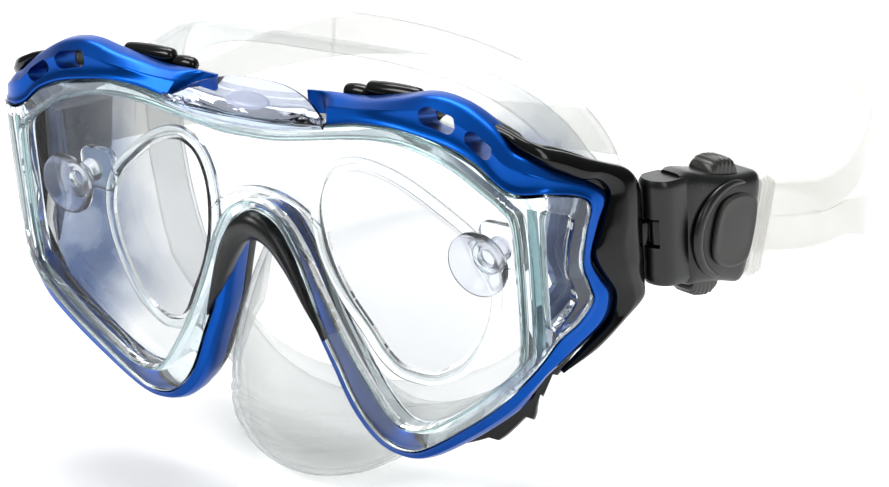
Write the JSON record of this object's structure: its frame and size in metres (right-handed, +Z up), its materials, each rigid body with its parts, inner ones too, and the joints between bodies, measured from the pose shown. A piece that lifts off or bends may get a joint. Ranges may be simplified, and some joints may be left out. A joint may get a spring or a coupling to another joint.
{
  "type": "diving mask",
  "caption": "Diving mask with one front window and two side windows, clear silicone skirt, split strap on pinch buckles and a pull-out lens insert.",
  "frame": {"origin": "centre of the face seal, on the symmetry plane, at the height of the eyes", "axes": "+Z up, the windows look along -Y, +X to the wearer's left"},
  "size_m": [0.2116, 0.212, 0.1156],
  "materials": {
    "glass": "clear tempered glass, polished",
    "clear_plastic": "clear moulded polycarbonate, gloss",
    "blue_bezel": "metallic blue lacquer over moulded plastic, high gloss",
    "black_gloss": "black moulded plastic, gloss",
    "charcoal": "charcoal moulded plastic, satin",
    "button_grey": "grey-green moulded plastic, satin",
    "clear_silicone": "clear liquid silicone rubber, smooth",
    "steel_pin": "stainless steel pin"
  },
  "bodies": {
    "mask": {"front_lens": "glass", "side_lens_left": "glass", "side_lens_right": "glass", "clear_frame": "clear_plastic", "bezel": "blue_bezel", "chassis": "black_gloss", "nose_bridge": "black_gloss", "skirt": "clear_silicone", "rear_strap": "clear_silicone", "hinge_pin_left": "steel_pin", "hinge_pin_right": "steel_pin"},
    "optical_insert": {"insert_frame": "clear_plastic", "insert_lens_left": "clear_plastic", "insert_lens_right": "clear_plastic", "suction_cup_left": "clear_silicone", "suction_cup_right": "clear_silicone"},
    "buckle_left": {"swivel_left": "charcoal", "buckle_body_left": "charcoal", "buckle_pad_left": "charcoal", "roller_pin_left": "steel_pin", "strap_end_left": "clear_silicone"},
    "button_upper_left": {"button_upper_left": "button_grey"},
    "button_lower_left": {"button_lower_left": "button_grey"},
    "lock_pawl_left": {"lock_pawl_left": "charcoal"},
    "roller_left": {"roller_left": "charcoal"},
    "buckle_right": {"swivel_right": "charcoal", "buckle_body_right": "charcoal", "buckle_pad_right": "charcoal", "roller_pin_right": "steel_pin", "strap_end_right": "clear_silicone"},
    "button_upper_right": {"button_upper_right": "button_grey"},
    "button_lower_right": {"button_lower_right": "button_grey"},
    "lock_pawl_right": {"lock_pawl_right": "charcoal"},
    "roller_right": {"roller_right": "charcoal"}
  },
  "joints": [
    {"name": "insert_pull", "type": "slide", "parent": "mask", "child": "optical_insert", "axis": [0, 1, 0], "range_m": [0, 0.024]},
    {"name": "buckle_swing_left", "type": "hinge", "parent": "mask", "child": "buckle_left", "pos_m": [0.09195, -0.01452, 0.012], "axis": [0, 0, -1], "range_deg": [-20, 12]},
    {"name": "button_upper_press_left", "type": "slide", "parent": "buckle_left", "child": "button_upper_left", "axis": [-0.0707, -0.2837, -0.9563], "range_m": [0, 0.0013], "stiffness_N_per_m": 600, "springref_m": -0.001},
    {"name": "button_lower_press_left", "type": "slide", "parent": "buckle_left", "child": "button_lower_left", "axis": [0.0707, 0.2837, 0.9563], "range_m": [0, 0.0013]},
    {"name": "pawl_release_left", "type": "slide", "parent": "buckle_left", "child": "lock_pawl_left", "axis": [-0.2314, -0.9279, 0.2924], "range_m": [0, 0.001]},
    {"name": "roller_spin_left", "type": "hinge", "parent": "buckle_left", "child": "roller_left", "pos_m": [0.09566, -0.00046, 0.00756], "axis": [0.0707, 0.2837, 0.9563], "continuous": true},
    {"name": "buckle_swing_right", "type": "hinge", "parent": "mask", "child": "buckle_right", "pos_m": [-0.09195, -0.01452, 0.012], "axis": [0, 0, 1], "range_deg": [-20, 12]},
    {"name": "button_upper_press_right", "type": "slide", "parent": "buckle_right", "child": "button_upper_right", "axis": [0.0707, -0.2837, -0.9563], "range_m": [0, 0.0013], "stiffness_N_per_m": 600, "springref_m": -0.001},
    {"name": "button_lower_press_right", "type": "slide", "parent": "buckle_right", "child": "button_lower_right", "axis": [-0.0707, 0.2837, 0.9563], "range_m": [0, 0.0013]},
    {"name": "pawl_release_right", "type": "slide", "parent": "buckle_right", "child": "lock_pawl_right", "axis": [0.2314, -0.9279, 0.2924], "range_m": [0, 0.001]},
    {"name": "roller_spin_right", "type": "hinge", "parent": "buckle_right", "child": "roller_right", "pos_m": [-0.09566, -0.00046, 0.00756], "axis": [-0.0707, 0.2837, 0.9563], "continuous": true}
  ],
  "couplings": [
    {"joint": "button_lower_press_left", "follows": "button_upper_press_left", "ratio": 1},
    {"joint": "pawl_release_left", "follows": "button_upper_press_left", "ratio": 0.7615},
    {"joint": "button_lower_press_right", "follows": "button_upper_press_right", "ratio": 1},
    {"joint": "pawl_release_right", "follows": "button_upper_press_right", "ratio": 0.7615}
  ]
}
